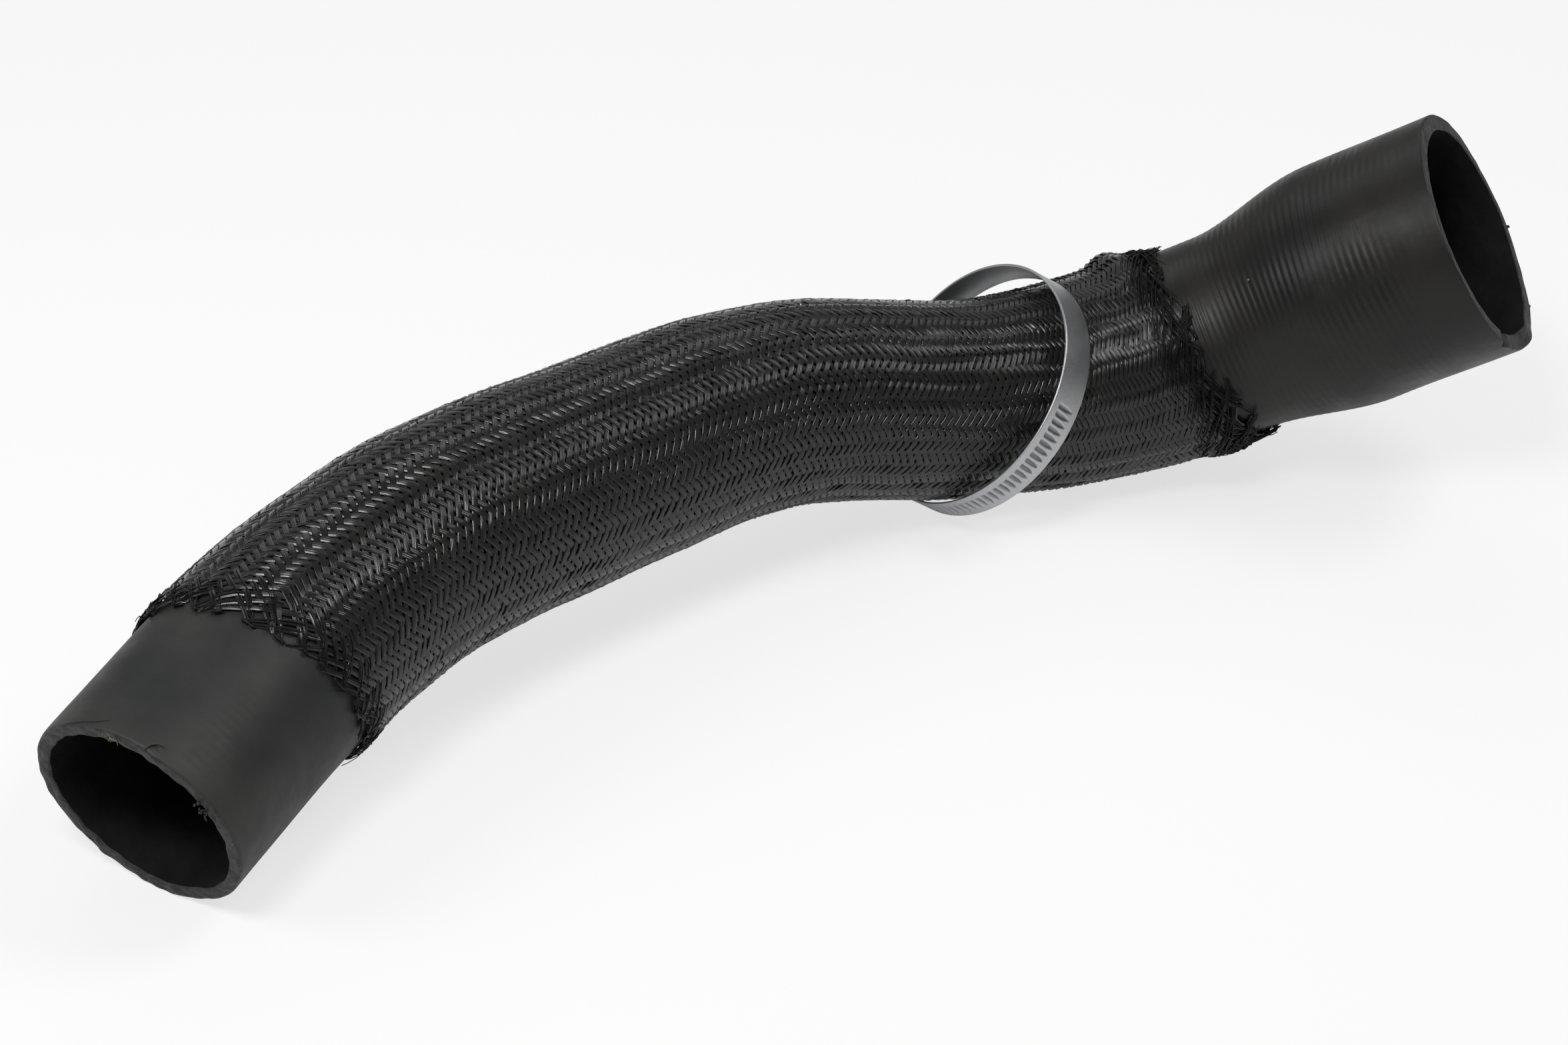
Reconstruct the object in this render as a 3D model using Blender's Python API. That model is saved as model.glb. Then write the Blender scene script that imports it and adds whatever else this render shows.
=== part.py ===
"""Charge air hose for a car engine bay.

A moulded rubber hose with a bell mouth, a loose braided sleeve over its middle, and a
worm-drive clamp that hangs round it. The parts lie as they rest on a flat floor at z = 0.
"""
import math

import bmesh
import bpy
import numpy as np
from mathutils import Matrix, Vector

MM = 0.001

# Place of the whole part: moves the box's bottom centre to the origin
REST_SHIFT = (-0.7, -5.2, 0.0)

# Hose: the centreline as moulded, from the plain cuff to the bell mouth
ROUTE = (
    (-244, -43, 34.5), (-190, -11, 46.5), (-130, 13, 55), (-61, 26.5, 55.5), (8.5, 35, 53),
    (72, 30, 39.5), (121, 25, 36), (162, 12, 47), (198, -10.5, 73), (232, -39, 104),
)
CUFF_DIAMETER = 70.6
BODY_DIAMETER = 68.6
WAIST_DIAMETER = 63.2
SHOULDER_DIAMETER = 69.6
NECK_DIAMETER = 70.4
BELL_DIAMETER = 84.4
HOSE_WALL = 4.6
RIM_CHAMFER = 0.5

# Hose: where each diameter is reached, measured along the centreline
CUFF_LENGTH = 60.0
BODY_AT = 125.0
WAIST_AT = 335.0
SHOULDER_AT = 412.0
NECK_FROM_BELL_END = 92.0
BELL_LENGTH = 46.0

# Braided sleeve: its two frayed edges run round the hose at a slant
SLEEVE_GAP = 0.7
SLEEVE_WALL = 0.9
BRAID_RIDGE = 0.6
SLEEVE_START = 54.5
SLEEVE_START_SLANT = 8.0
SLEEVE_START_TURN = 120.0
SLEEVE_END_FROM_BELL_END = 101.0
SLEEVE_END_SLANT = 8.0
SLEEVE_END_TURN = 150.0
FRAY_DEPTH = 2.2
FRAY_WAVES = ((7, 0.6, 0.0), (17, 0.4, 1.0))
BRAID_COLUMNS = 36
BRAID_ROWS = 60
INNER_ROW_STEP = 2

# Worm-drive clamp: the loop of the band, seen along its own axis
LOOP_CENTRE = (85.6, 29.9, 39.8)
LOOP_ROTATION = (129.17, 22.25, 99.71)
LOOP_RADIUS = 44.05
LOOP_OVALITY = 0.02
LOOP_LONG_WAY = -35.0
BAND_WIDTH = 12.0
BAND_THICKNESS = 0.9
BAND_LAYER_GAP = 0.3
TONGUE_ANGLE = -14.0
TAIL_ANGLE = 382.0
LIFT_START_ANGLE = 326.0
LIFT_END_ANGLE = 346.0
GROOVE_START_ANGLE = 180.0
GROOVE_PITCH = 2.7
GROOVE_WIDTH = 1.5
GROOVE_LENGTH = 6.4
GROOVE_SLANT = 0.7
GROOVE_DEPTH = 0.5
GROOVE_BELLY = 0.5
GROOVE_RUN_OUT = 0.4
FULL_TURN = 360.0

# Worm: it turns in the housing, with its slotted hexagon head outside
WORM_RADIUS = 4.0
WORM_CORE_RADIUS = 3.1
WORM_LENGTH = 12.2
WORM_FLANK = 1.5
WORM_CLEARANCE = 0.3
NECK_RADIUS = 2.3
NECK_LENGTH = 2.4
TAIL_PIN_RADIUS = 1.6
TAIL_PIN_LENGTH = 1.1
HEAD_FLANGE_RADIUS = 4.6
HEAD_FLANGE_THICKNESS = 1.0
HEAD_ACROSS_FLATS = 7.0
HEAD_HEIGHT = 4.6
HEAD_CHAMFER = 0.4
SLOT_WIDTH = 1.0
SLOT_DEPTH = 1.8

# Housing: a pressed bridge that holds the worm against the band
HOUSING_WALL = 0.9
HOUSING_FLOOR = 1.6
HOUSING_END_WALL = 1.5
SHOULDER_HEIGHT = 0.8
CUT_OVERRUN = 3.0

# Mesh fineness
HOSE_SIDES = 32
SKIN_STEP = 12.0
BORE_STEP = 22.0
FLARE_STEP_SHARE = 0.5
PLAIN_BAND_STEPS = 34
WORM_SIDES = 18
WORM_STEPS_PER_TURN = 6
DOME_STEPS = 10
TUNNEL_STEPS = 12
UP = np.array((0.0, 0.0, 1.0))


def material(name, colour, roughness, metallic=0.0):
    """A plain Principled material with the colour of the real finish."""
    made = bpy.data.materials.new(name)
    made.use_nodes = True
    shader = made.node_tree.nodes["Principled BSDF"]
    shader.inputs["Base Color"].default_value = (*colour, 1.0)
    shader.inputs["Roughness"].default_value = roughness
    shader.inputs["Metallic"].default_value = metallic
    return made


def add_object(name, bm, finish, parent, sharp_degrees=40.0):
    """Turns a bmesh in millimetres into an object in metres under its parent."""
    bmesh.ops.recalc_face_normals(bm, faces=bm.faces)
    bmesh.ops.scale(bm, vec=(MM, MM, MM), verts=bm.verts)
    mesh = bpy.data.meshes.new(name)
    bm.to_mesh(mesh)
    bm.free()
    mesh.shade_smooth()
    mesh.set_sharp_from_angle(angle=math.radians(sharp_degrees))
    mesh.materials.append(finish)
    made = bpy.data.objects.new(name, mesh)
    bpy.context.collection.objects.link(made)
    made.parent = parent
    return made


def add_empty(name, location, rotation=(0.0, 0.0, 0.0), parent=None):
    """An empty that carries other objects, placed in millimetres and degrees."""
    made = bpy.data.objects.new(name, None)
    bpy.context.collection.objects.link(made)
    made.location = Vector(location) * MM
    made.rotation_euler = [math.radians(angle) for angle in rotation]
    made.parent = parent
    return made


class Centreline:
    """A natural cubic spline through the route, measured by distance along it."""

    def __init__(self, route):
        self.points = np.array(route, dtype=float)
        steps = np.linalg.norm(np.diff(self.points, axis=0), axis=1)
        self.knots = np.concatenate(([0.0], np.cumsum(steps)))
        self.length = self.knots[-1]
        count = len(self.points)
        system = np.eye(count)
        right = np.zeros((count, 3))
        slopes = np.diff(self.points, axis=0) / steps[:, None]
        for i in range(1, count - 1):
            system[i, i - 1 : i + 2] = steps[i - 1], 2.0 * (steps[i - 1] + steps[i]), steps[i]
            right[i] = 6.0 * (slopes[i] - slopes[i - 1])
        self.bends = np.linalg.solve(system, right)

    def point(self, distance):
        i = int(np.clip(np.searchsorted(self.knots, distance) - 1, 0, len(self.knots) - 2))
        step = self.knots[i + 1] - self.knots[i]
        b = (distance - self.knots[i]) / step
        a = 1.0 - b
        ends = a * self.points[i] + b * self.points[i + 1]
        bend = (a**3 - a) * self.bends[i] + (b**3 - b) * self.bends[i + 1]
        return ends + bend * step * step / 6.0

    def frame(self, distance):
        """The point there, with the directions along, up and sideways."""
        reach = 0.5
        low = max(0.0, distance - reach)
        high = min(self.length, distance + reach)
        along = self.point(high) - self.point(low)
        along /= np.linalg.norm(along)
        up = UP - along * np.dot(UP, along)
        up /= np.linalg.norm(up)
        return self.point(distance), along, up, np.cross(along, up)

    def on_surface(self, distance, radius, angle):
        centre, _, up, side = self.frame(distance)
        return centre + radius * (math.cos(angle) * up + math.sin(angle) * side)


def eased(stations, distance):
    """Reads a value between stations, with a level tangent at each."""
    places = [place for place, _ in stations]
    i = int(np.clip(np.searchsorted(places, distance) - 1, 0, len(stations) - 2))
    (start, first), (end, second) = stations[i], stations[i + 1]
    t = min(1.0, max(0.0, (distance - start) / (end - start)))
    return first + (second - first) * t * t * (3.0 - 2.0 * t)


def hose_radius(distance, length):
    """Outer radius of the rubber at a distance from the cuff's end."""
    stations = (
        (0.0, CUFF_DIAMETER),
        (CUFF_LENGTH, CUFF_DIAMETER),
        (BODY_AT, BODY_DIAMETER),
        (WAIST_AT, WAIST_DIAMETER),
        (SHOULDER_AT, SHOULDER_DIAMETER),
        (length - NECK_FROM_BELL_END, NECK_DIAMETER),
        (length - BELL_LENGTH, BELL_DIAMETER),
        (length, BELL_DIAMETER),
    )
    return eased(stations, distance) / 2.0


def hose_stations(length, step):
    """Distances for the hose's rings, closer together along the flare."""
    flare_start = length - NECK_FROM_BELL_END
    flare_end = length - BELL_LENGTH
    stretches = (
        (0.0, flare_start, step),
        (flare_start, flare_end, step * FLARE_STEP_SHARE),
        (flare_end, length, step),
    )
    stations = [0.0]
    for start, end, pace in stretches:
        steps = max(1, round((end - start) / pace))
        stations += [start + (end - start) * (i + 1) / steps for i in range(steps)]
    return stations


def join_rows(bm, lower, upper, slant=0):
    """Faces between two rings of vertices; slant picks the diagonal of each column in turn."""
    count = len(lower)
    for i in range(count):
        j = (i + 1) % count
        quad = (lower[i], lower[j], upper[j], upper[i])
        if not slant:
            bm.faces.new(quad)
        elif i % 2:
            bm.faces.new((quad[0], quad[1], quad[2]))
            bm.faces.new((quad[0], quad[2], quad[3]))
        else:
            bm.faces.new((quad[1], quad[2], quad[3]))
            bm.faces.new((quad[1], quad[3], quad[0]))


def make_hose(line, finish, parent):
    """The rubber: an outer skin and a bore, joined by a flat cut rim at each end."""
    bm = bmesh.new()
    angles = np.linspace(0.0, math.tau, HOSE_SIDES, endpoint=False)

    def ring(distance, radius):
        return [bm.verts.new(line.on_surface(distance, radius, angle)) for angle in angles]

    length = line.length
    rows = []
    for distance in hose_stations(length, SKIN_STEP):
        radius = hose_radius(distance, length)
        if distance == 0.0:
            rows.append(ring(0.0, radius - RIM_CHAMFER))
            rows.append(ring(RIM_CHAMFER, radius))
        elif distance == length:
            rows.append(ring(length - RIM_CHAMFER, radius))
            rows.append(ring(length, radius - RIM_CHAMFER))
        else:
            rows.append(ring(distance, radius))
    for distance in reversed(hose_stations(length, BORE_STEP)):
        rows.append(ring(distance, hose_radius(distance, length) - HOSE_WALL))
    for lower, upper in zip(rows, rows[1:] + rows[:1]):
        join_rows(bm, lower, upper)
    return add_object("hose", bm, finish, parent)


def fray(angle):
    """How far the uneven cut of the braid reaches past its mean edge."""
    waves = (share * math.sin(count * angle + phase) for count, share, phase in FRAY_WAVES)
    return FRAY_DEPTH * sum(waves)


def sleeve_edges(angle, length):
    """The sleeve's first and last distance along the hose at an angle round it."""
    first = SLEEVE_START - SLEEVE_START_SLANT * math.cos(
        angle - math.radians(SLEEVE_START_TURN + 180.0)
    )
    last = length - SLEEVE_END_FROM_BELL_END + SLEEVE_END_SLANT * math.cos(
        angle - math.radians(SLEEVE_END_TURN)
    )
    return first - fray(angle), last + fray(-angle)


def make_sleeve(line, finish, parent):
    """The braid: one wall whose outside carries the chevron ridges of the twill."""
    bm = bmesh.new()
    angles = np.linspace(0.0, math.tau, BRAID_COLUMNS, endpoint=False)
    length = line.length

    def ring(share, height, ridged):
        verts = []
        for column, angle in enumerate(angles):
            first, last = sleeve_edges(angle, length)
            distance = first + (last - first) * share
            raised = BRAID_RIDGE if ridged and (column + ridged) % 2 else 0.0
            radius = hose_radius(distance, length) + SLEEVE_GAP + height + raised
            verts.append(bm.verts.new(line.on_surface(distance, radius, angle)))
        return verts

    outer = [
        ring(row / BRAID_ROWS, SLEEVE_WALL, ridged=row + 1) for row in range(BRAID_ROWS + 1)
    ]
    inner = [
        ring(row / BRAID_ROWS, 0.0, ridged=0) for row in range(BRAID_ROWS, -1, -INNER_ROW_STEP)
    ]
    for lower, upper in zip(outer, outer[1:]):
        join_rows(bm, lower, upper, slant=1)
    inside = [outer[-1], *inner, outer[0]]
    for lower, upper in zip(inside, inside[1:]):
        join_rows(bm, lower, upper)
    return add_object("braided_sleeve", bm, finish, parent, sharp_degrees=20.0)


def band_radius(degrees):
    """Outer radius of the band along its length, which ends lifted over its own start."""
    shift = BAND_THICKNESS + BAND_LAYER_GAP
    lift = eased(((LIFT_START_ANGLE, 0.0), (LIFT_END_ANGLE, shift)), degrees)
    way = math.radians(2.0 * (degrees - LOOP_LONG_WAY))
    return LOOP_RADIUS * (1.0 + LOOP_OVALITY * math.cos(way)) + lift


def band_point(degrees, sink, across):
    """A point of the band at an angle round the loop, below its outer face."""
    radius = band_radius(degrees) - sink
    angle = math.radians(degrees)
    return (radius * math.cos(angle), radius * math.sin(angle), across)


def cut_groove(bm, corners, start, end):
    """One pressed thread groove, a leaf-shaped dent set slantwise in its stretch of band."""
    middle = (start + end) / 2.0
    per_mm = (end - start) / GROOVE_PITCH
    half = GROOVE_LENGTH / 2.0

    def dent(along, across, sink=0.0):
        slant = GROOVE_SLANT * across / GROOVE_LENGTH
        return bm.verts.new(band_point(middle + (along + slant) * per_mm, sink, across))

    wide = GROOVE_WIDTH / 2.0
    tip = dent(0.0, half)
    before = dent(-wide, GROOVE_BELLY)
    after = dent(wide, GROOVE_BELLY)
    foot_before = dent(-wide, -half)
    foot_after = dent(wide, -half)
    deep_tip = dent(0.0, GROOVE_BELLY, GROOVE_DEPTH)
    deep_foot = dent(0.0, GROOVE_RUN_OUT - half, GROOVE_DEPTH)
    low_start, low_end, high_end, high_start = corners
    faces = (
        (tip, before, deep_tip), (before, foot_before, deep_foot, deep_tip),
        (foot_before, foot_after, deep_foot), (foot_after, after, deep_tip, deep_foot),
        (after, tip, deep_tip),
        (low_start, low_end, foot_after, foot_before), (low_end, high_end, after, foot_after),
        (high_end, tip, after), (high_end, high_start, tip),
        (high_start, before, tip), (high_start, low_start, foot_before, before),
    )
    for face in faces:
        bm.faces.new(face)


def make_band(finish, parent):
    """The steel strip: plain over the first half of the loop, grooved to its tail."""
    bm = bmesh.new()
    half = BAND_WIDTH / 2.0
    pitch_angle = math.degrees(GROOVE_PITCH / LOOP_RADIUS)
    grooves = int((TAIL_ANGLE - GROOVE_START_ANGLE) / pitch_angle)
    plain = list(np.linspace(TONGUE_ANGLE, GROOVE_START_ANGLE, PLAIN_BAND_STEPS + 1))
    grooved = [GROOVE_START_ANGLE + pitch_angle * (i + 1) for i in range(grooves)]
    stations = plain + grooved
    rows = []
    for degrees in stations:
        corners = ((0.0, -half), (0.0, half), (BAND_THICKNESS, half), (BAND_THICKNESS, -half))
        rows.append([bm.verts.new(band_point(degrees, *corner)) for corner in corners])
    for i, (lower, upper) in enumerate(zip(rows, rows[1:])):
        for side in range(1, 4):
            over = (side + 1) % 4
            bm.faces.new((lower[side], lower[over], upper[over], upper[side]))
        if i < len(plain) - 1:
            bm.faces.new((lower[0], lower[1], upper[1], upper[0]))
        else:
            corners = (lower[0], upper[0], upper[1], lower[1])
            cut_groove(bm, corners, stations[i], stations[i + 1])
    bm.faces.new(rows[0])
    bm.faces.new(rows[-1])
    return add_object("clamp_band", bm, finish, parent, sharp_degrees=30.0)


def worm_axis_radius():
    """Distance of the worm's axis from the loop's centre."""
    return band_radius(FULL_TURN) + WORM_CLEARANCE + WORM_RADIUS


def cutter(name, bm, parent):
    """A hidden solid that only shapes another by a Boolean."""
    made = add_object(name, bm, None, parent)
    made.hide_render = True
    made.display_type = "WIRE"
    return made


def cylinder(bm, radius, start, end, segments=24):
    """A cylinder along the worm's axis, between two distances from the worm's middle."""
    turn = Matrix.Rotation(math.radians(-90.0), 4, "X")
    place = Matrix.Translation((worm_axis_radius(), (start + end) / 2.0, 0.0))
    bmesh.ops.create_cone(
        bm, cap_ends=True, segments=segments, radius1=radius, radius2=radius,
        depth=end - start, matrix=place @ turn,
    )


def make_housing(finish, parent):
    """The housing: a domed bridge with a tunnel for the band and a chamber for the worm."""
    axis = worm_axis_radius()
    half_chamber = WORM_LENGTH / 2.0 + WORM_CLEARANCE
    half_length = half_chamber + HOUSING_END_WALL
    half_width = BAND_WIDTH / 2.0 + WORM_CLEARANCE + HOUSING_WALL
    dome = WORM_RADIUS + WORM_CLEARANCE + HOUSING_WALL
    inner_face = band_radius(0.0) - BAND_THICKNESS - WORM_CLEARANCE
    bottom = inner_face - HOUSING_FLOOR
    shoulder = band_radius(FULL_TURN) + WORM_CLEARANCE + SHOULDER_HEIGHT
    outline = [(bottom, -half_width), (shoulder, -half_width)]
    for i in range(DOME_STEPS + 1):
        angle = math.pi * i / DOME_STEPS
        outline.append((axis + dome * math.sin(angle), -dome * math.cos(angle)))
    outline += [(shoulder, half_width), (bottom, half_width)]
    bm = bmesh.new()
    rows = [[bm.verts.new((x, y, z)) for x, z in outline] for y in (-half_length, half_length)]
    join_rows(bm, rows[0], rows[1])
    bm.faces.new(rows[0])
    bm.faces.new(rows[1])
    housing = add_object("clamp_housing", bm, finish, parent, sharp_degrees=30.0)

    tunnel = bmesh.new()
    reach = math.degrees((half_length + CUT_OVERRUN) / inner_face)
    top_face = band_radius(FULL_TURN) + WORM_CLEARANCE
    ring_rows = []
    for degrees in np.linspace(-reach, reach, TUNNEL_STEPS + 1):
        angle = math.radians(degrees)
        way = math.cos(math.radians(2.0 * (degrees - LOOP_LONG_WAY)))
        change = LOOP_RADIUS * LOOP_OVALITY * (way - math.cos(math.radians(2.0 * LOOP_LONG_WAY)))
        low, high = inner_face + change, top_face + change
        side = BAND_WIDTH / 2.0 + WORM_CLEARANCE
        corners = ((low, -side), (low, side), (high, side), (high, -side))
        ring_rows.append([
            tunnel.verts.new((radius * math.cos(angle), radius * math.sin(angle), z))
            for radius, z in corners
        ])
    for lower, upper in zip(ring_rows, ring_rows[1:]):
        join_rows(tunnel, lower, upper)
    tunnel.faces.new(ring_rows[0])
    tunnel.faces.new(ring_rows[-1])

    chamber = bmesh.new()
    room = WORM_RADIUS + WORM_CLEARANCE
    cylinder(chamber, room, -half_chamber, half_chamber)
    neck_hole = bmesh.new()
    cylinder(neck_hole, NECK_RADIUS + WORM_CLEARANCE, 0.0, half_length + CUT_OVERRUN)
    pin_hole = bmesh.new()
    cylinder(pin_hole, TAIL_PIN_RADIUS + WORM_CLEARANCE, -half_length - CUT_OVERRUN, 0.0)
    throat = bmesh.new()
    low = band_radius(FULL_TURN)
    bmesh.ops.create_cube(
        throat, size=1.0,
        matrix=Matrix.Translation(((low + axis) / 2.0, 0.0, 0.0))
        @ Matrix.Diagonal((axis - low, 2.0 * half_chamber, 2.0 * room, 1.0)),
    )
    shapes = (("tunnel", tunnel), ("chamber", chamber), ("neck_hole", neck_hole),
              ("pin_hole", pin_hole), ("throat", throat))
    for name, shape in shapes:
        cut = housing.modifiers.new(name, "BOOLEAN")
        cut.operation = "DIFFERENCE"
        cut.object = cutter("cut_" + name, shape, parent)
    return housing


def thread_radius(distance, angle):
    """Radius of the worm's single right-hand thread at a place on it."""
    phase = (distance / GROOVE_PITCH - angle / math.tau) % 1.0
    rise = 1.0 - abs(2.0 * phase - 1.0)
    return WORM_CORE_RADIUS + (WORM_RADIUS - WORM_CORE_RADIUS) * min(1.0, WORM_FLANK * rise)


def make_screw(finish, parent):
    """The worm screw, built along its own axis and laid along the band."""
    bm = bmesh.new()
    angles = np.linspace(0.0, math.tau, WORM_SIDES, endpoint=False)

    def ring(distance, radius_at):
        return [
            bm.verts.new((
                radius_at(angle) * math.cos(angle), radius_at(angle) * math.sin(angle), distance
            ))
            for angle in angles
        ]

    def round_ring(distance, radius):
        return ring(distance, lambda angle: radius)

    def hexagon(angle):
        return HEAD_ACROSS_FLATS / 2.0 / math.cos((angle % (math.pi / 3.0)) - math.pi / 6.0)

    half = WORM_LENGTH / 2.0
    rows = [round_ring(-half - TAIL_PIN_LENGTH, TAIL_PIN_RADIUS), round_ring(-half, TAIL_PIN_RADIUS)]
    rows.append(round_ring(-half, WORM_CORE_RADIUS))
    steps = round(WORM_LENGTH / GROOVE_PITCH * WORM_STEPS_PER_TURN)
    for i in range(1, steps):
        distance = -half + WORM_LENGTH * i / steps
        rows.append(ring(distance, lambda angle: thread_radius(distance, angle)))
    rows.append(round_ring(half, WORM_CORE_RADIUS))
    rows.append(round_ring(half, NECK_RADIUS))
    flange = half + NECK_LENGTH
    rows.append(round_ring(flange, NECK_RADIUS))
    rows.append(round_ring(flange, HEAD_FLANGE_RADIUS))
    head = flange + HEAD_FLANGE_THICKNESS
    rows.append(round_ring(head, HEAD_FLANGE_RADIUS))
    rows.append(ring(head, hexagon))
    top = head + HEAD_HEIGHT
    rows.append(ring(top - HEAD_CHAMFER, hexagon))
    rows.append(ring(top, lambda angle: hexagon(angle) - 2.0 * HEAD_CHAMFER))
    for lower, upper in zip(rows, rows[1:]):
        join_rows(bm, lower, upper)
    bm.faces.new(rows[0])
    bm.faces.new(rows[-1])
    screw = add_object("clamp_screw", bm, finish, parent, sharp_degrees=30.0)

    slot = bmesh.new()
    bmesh.ops.create_cube(
        slot, size=1.0,
        matrix=Matrix.Translation((0.0, 0.0, top))
        @ Matrix.Diagonal((SLOT_WIDTH, 4.0 * HEAD_FLANGE_RADIUS, 2.0 * SLOT_DEPTH, 1.0)),
    )
    cut = screw.modifiers.new("slot", "BOOLEAN")
    cut.operation = "DIFFERENCE"
    cut.object = cutter("cut_slot", slot, parent)
    return screw


def build():
    """Clears the scene and makes every piece."""
    for old in list(bpy.data.objects):
        bpy.data.objects.remove(old, do_unlink=True)
    rubber = material("rubber", (0.018, 0.018, 0.019), 0.55)
    braid = material("braid", (0.012, 0.012, 0.012), 0.35)
    steel = material("steel", (0.55, 0.56, 0.57), 0.35, metallic=1.0)

    rest = add_empty("rest_place", REST_SHIFT)
    line = Centreline(ROUTE)
    make_hose(line, rubber, rest)
    make_sleeve(line, braid, rest)

    clamp = add_empty("clamp_place", LOOP_CENTRE, LOOP_ROTATION, rest)
    make_band(steel, clamp)
    make_housing(steel, clamp)
    worm = add_empty("worm_place", (worm_axis_radius(), 0.0, 0.0), (-90.0, 0.0, 0.0), clamp)
    make_screw(steel, worm)


build()
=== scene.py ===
"""Looks of the charge air hose: rubber with rough cut rims, a braided sleeve woven from single
tapes with melted and frayed edges, the steel clamp, and the studio that shows them.

Lengths are millimetres until a mesh is made, and metres in the finishes, the lamps and the floor.
The driving sizes are those of the solids. A turn is an angle round the hose in degrees, 0 being up.
"""

import math

import bpy
import numpy as np
from mathutils import Euler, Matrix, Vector


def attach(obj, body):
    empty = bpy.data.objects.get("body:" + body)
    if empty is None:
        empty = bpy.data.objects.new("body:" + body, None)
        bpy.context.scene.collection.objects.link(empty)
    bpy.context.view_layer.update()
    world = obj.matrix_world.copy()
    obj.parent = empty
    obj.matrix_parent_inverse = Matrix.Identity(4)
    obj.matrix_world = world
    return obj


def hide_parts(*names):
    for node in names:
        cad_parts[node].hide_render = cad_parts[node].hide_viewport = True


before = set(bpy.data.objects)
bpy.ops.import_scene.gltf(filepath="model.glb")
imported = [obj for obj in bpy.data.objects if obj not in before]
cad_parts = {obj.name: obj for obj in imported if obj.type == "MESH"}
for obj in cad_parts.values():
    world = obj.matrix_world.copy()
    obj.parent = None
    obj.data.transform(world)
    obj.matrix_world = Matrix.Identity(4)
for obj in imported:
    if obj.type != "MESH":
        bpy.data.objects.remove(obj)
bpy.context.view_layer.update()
MM = 0.001

# Place and centreline of the hose, from the plain cuff to the bell mouth
REST_SHIFT = (-0.7, -5.2, 0.0)
ROUTE = (
    (-244, -43, 34.5), (-190, -11, 46.5), (-130, 13, 55), (-61, 26.5, 55.5), (8.5, 35, 53),
    (72, 30, 39.5), (121, 25, 36), (162, 12, 47), (198, -10.5, 73), (232, -39, 104),
)
CUFF_DIAMETER = 70.6
BODY_DIAMETER = 68.6
WAIST_DIAMETER = 63.2
SHOULDER_DIAMETER = 69.6
NECK_DIAMETER = 70.4
BELL_DIAMETER = 84.4
HOSE_WALL = 4.6
CUFF_LENGTH = 60.0
BODY_AT = 125.0
WAIST_AT = 335.0
SHOULDER_AT = 412.0
NECK_FROM_BELL_END = 92.0
BELL_LENGTH = 46.0

# Rubber: its rough cut rims, where the bell has a share of the cuff's lumps
CUFF_RIM_ROUND = 1.1
BELL_RIM_ROUND = 0.55
RIM_REACH = 6.0
CUFF_RIM_WAVE = 0.5
CUFF_RIM_SWELL = 0.25
BELL_RIM_WAVE = 0.3
FACE_LUMPS = 0.16
FACE_LUMPS_SHARE_OF_BELL = 0.3
BORE_LUMPS = 0.3
BORE_LUMPS_SHARE_OF_BELL = 0.2

# Rubber: the bell's wall, thick on two sides, and the corner and notch in its rim
BELL_WALL_CHANGE = 0.3
BELL_WALL_CHANGE_REACH = 25.0
BELL_THICK_TURN = -15.0
BELL_CORNER_TURN = 167.0
BELL_CORNER_SPREAD = 9.0
BELL_CORNER_REACH = 1.6
BELL_NOTCH_TURN = 128.0
BELL_NOTCH_SPREAD = 2.4
BELL_NOTCH_DEPTH = 1.5

# Rubber: the wave of its skin, and the rings that its wrapping left on it while it cured
SKIN_WAVE = 0.18
RING_PITCH = 2.7
RING_DEPTH = 0.15
RING_MEANDER = 0.9
RING_TURN = 45.0
RING_SPREAD = 38.0
RING_SHARE_ALL_ROUND = 0.3
RING_SHARE_AT_TURN = 0.9

# Rubber: how strong its rings are, by distance from the cuff's end and, below zero, from the bell's
RINGS_NEAR_CUFF = ((0.0, 0.2), (100.0, 0.0))
RINGS_NEAR_BELL = ((-110.0, 0.0), (-95.0, 1.0), (-30.0, 0.8), (-8.0, 0.15))

# Rubber: the points of its mesh, and how far the finish of skin and bore reaches into the wall
HOSE_SIDES = 224
BARE_STEP = 0.65
HIDDEN_STEP = 10.0
BORE_STEP = 10.0
BARE_STEPS_UNDER_SLEEVE = 5.0
RIM_ROUND_STEPS = 5
CUFF_FACE_STEPS = 6
BELL_FACE_STEPS = 7
SKIN_DEPTH = 0.25
BORE_DEPTH = 0.05

# Rubber: places along X where the dust and the painted sheen of the cuff end, and where they are full
DUST_AND_SHEEN_ENDS_AT = -110.0
DUST_AND_SHEEN_FULL_AT = -185.0

# Braided sleeve: its tube and its two slanted ends
SLEEVE_GAP = 0.7
SLEEVE_WALL = 0.9
SLEEVE_WAVE = 0.15
SLEEVE_SINKS_AT_MOST = 0.3
SLEEVE_START = 54.5
SLEEVE_START_SLANT = 8.0
SLEEVE_START_TURN = 120.0
SLEEVE_END_FROM_BELL_END = 101.0
SLEEVE_END_SLANT = 8.0
SLEEVE_END_TURN = 150.0

# Braid: its tapes; a section is places across in widths, and heights in thicknesses
TAPES = 48
TAPE_WIDTH = 1.95
TAPE_WIDTH_VARIES = (0.9, 1.1)
TAPE_THICKNESS = 0.16
TAPE_SECTION_PLACES = (-0.5, -0.42, -0.2, 0.0, 0.2, 0.42, 0.5)
TAPE_SECTION_HEIGHTS = (-1.0, 0.5, 0.65, 0.7, 0.65, 0.5, -1.0)
TAPE_LIFT = 0.2
TAPE_TILT = 0.13
TAPE_JITTER = 0.1
TAPE_WAVE_ALONG = 0.5
TAPE_WAVE_ROUND = 0.012
TAPE_UV_STRIDE = 101.0
FLOAT_REPEAT = 4

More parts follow.
